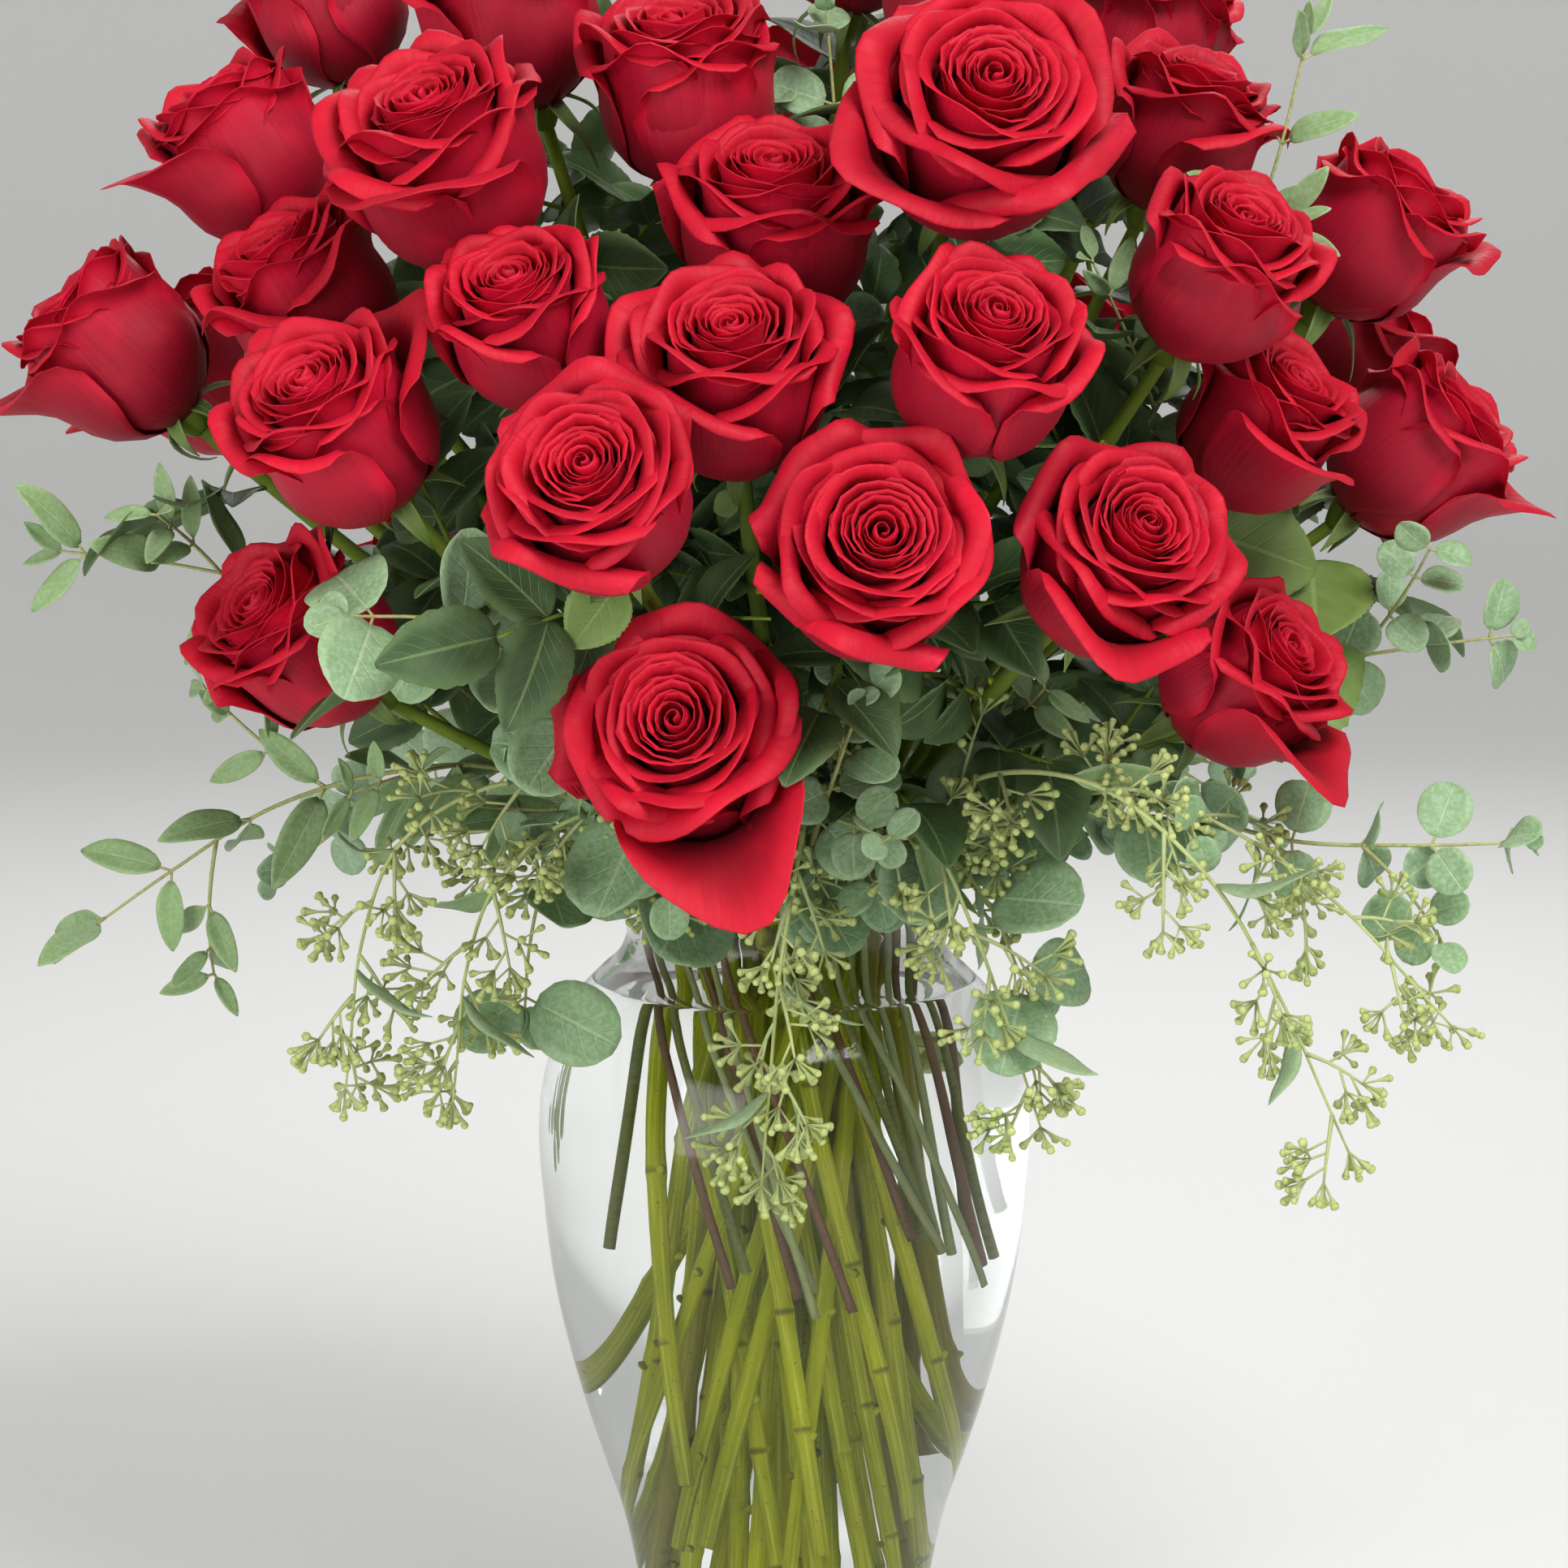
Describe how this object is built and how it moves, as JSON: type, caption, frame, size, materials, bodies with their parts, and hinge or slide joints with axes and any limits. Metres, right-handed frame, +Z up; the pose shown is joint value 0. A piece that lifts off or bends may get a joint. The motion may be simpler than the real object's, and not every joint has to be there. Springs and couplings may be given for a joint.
{
  "type": "rose bouquet in a glass vase",
  "caption": "Long-stemmed red roses with round-leaved and seeded eucalyptus, standing in a clear glass urn vase with a rolled rim",
  "frame": {"origin": "the middle of the underside of the vase's foot", "axes": "+Z up, the front of the arrangement faces -Y, +X to the right as seen from the front"},
  "size_m": [0.4532, 0.3768, 0.5968],
  "materials": {
    "clear_glass": "clear polished blown glass",
    "rose_petals": "velvety crimson petals, darker in the folds",
    "rose_stems": "smooth yellow-green stem skin with leaf scars",
    "rose_leaves": "dark green leaf with a satin surface and pale veins",
    "eucalyptus_round": "matt grey-green leaf with a pale bloom",
    "eucalyptus_narrow": "matt grey-green narrow leaf",
    "eucalyptus_seeded": "yellow-green buds and twigs, satin",
    "water": "clear still water"
  },
  "bodies": {
    "root": {"dollar_back_left": "eucalyptus_round", "dollar_back_right": "eucalyptus_round", "dollar_front_centre": "eucalyptus_round", "dollar_left_front": "eucalyptus_round", "dollar_neck_left": "eucalyptus_round", "dollar_neck_right": "eucalyptus_round", "dollar_right_high": "eucalyptus_round", "dollar_right_low": "eucalyptus_round", "dollar_top": "eucalyptus_round", "rose_back_01": "rose_petals", "rose_back_02": "rose_petals", "rose_back_03": "rose_petals", "rose_back_04": "rose_petals", "rose_back_05": "rose_petals", "rose_back_06": "rose_petals", "rose_back_07": "rose_petals", "rose_back_08": "rose_petals", "rose_back_09": "rose_petals", "rose_back_10": "rose_petals", "rose_back_11": "rose_petals", "rose_back_12": "rose_petals", "rose_back_13": "rose_petals", "rose_front_01": "rose_petals", "rose_front_02": "rose_petals", "rose_front_03": "rose_petals", "rose_front_04": "rose_petals", "rose_front_05": "rose_petals", "rose_front_06": "rose_petals", "rose_front_07": "rose_petals", "rose_front_08": "rose_petals", "rose_front_09": "rose_petals", "rose_front_10": "rose_petals", "rose_front_11": "rose_petals", "rose_front_12": "rose_petals", "rose_front_13": "rose_petals", "rose_front_14": "rose_petals", "rose_front_15": "rose_petals", "rose_front_16": "rose_petals", "rose_front_17": "rose_petals", "rose_front_18": "rose_petals", "rose_front_19": "rose_petals", "rose_front_20": "rose_petals", "rose_front_21": "rose_petals", "rose_front_22": "rose_petals", "rose_front_23": "rose_petals", "rose_front_24": "rose_petals", "rose_front_25": "rose_petals", "rose_front_26": "rose_petals", "seeded_back": "eucalyptus_seeded", "seeded_front_centre": "eucalyptus_seeded", "seeded_front_right": "eucalyptus_seeded", "seeded_left_inner": "eucalyptus_seeded", "seeded_left_outer": "eucalyptus_seeded", "seeded_right_long": "eucalyptus_seeded", "seeded_right_outer": "eucalyptus_seeded", "vase": "clear_glass", "willow_left_high": "eucalyptus_narrow", "willow_left_low": "eucalyptus_narrow", "willow_right_top": "eucalyptus_narrow"}
  },
  "joints": []
}
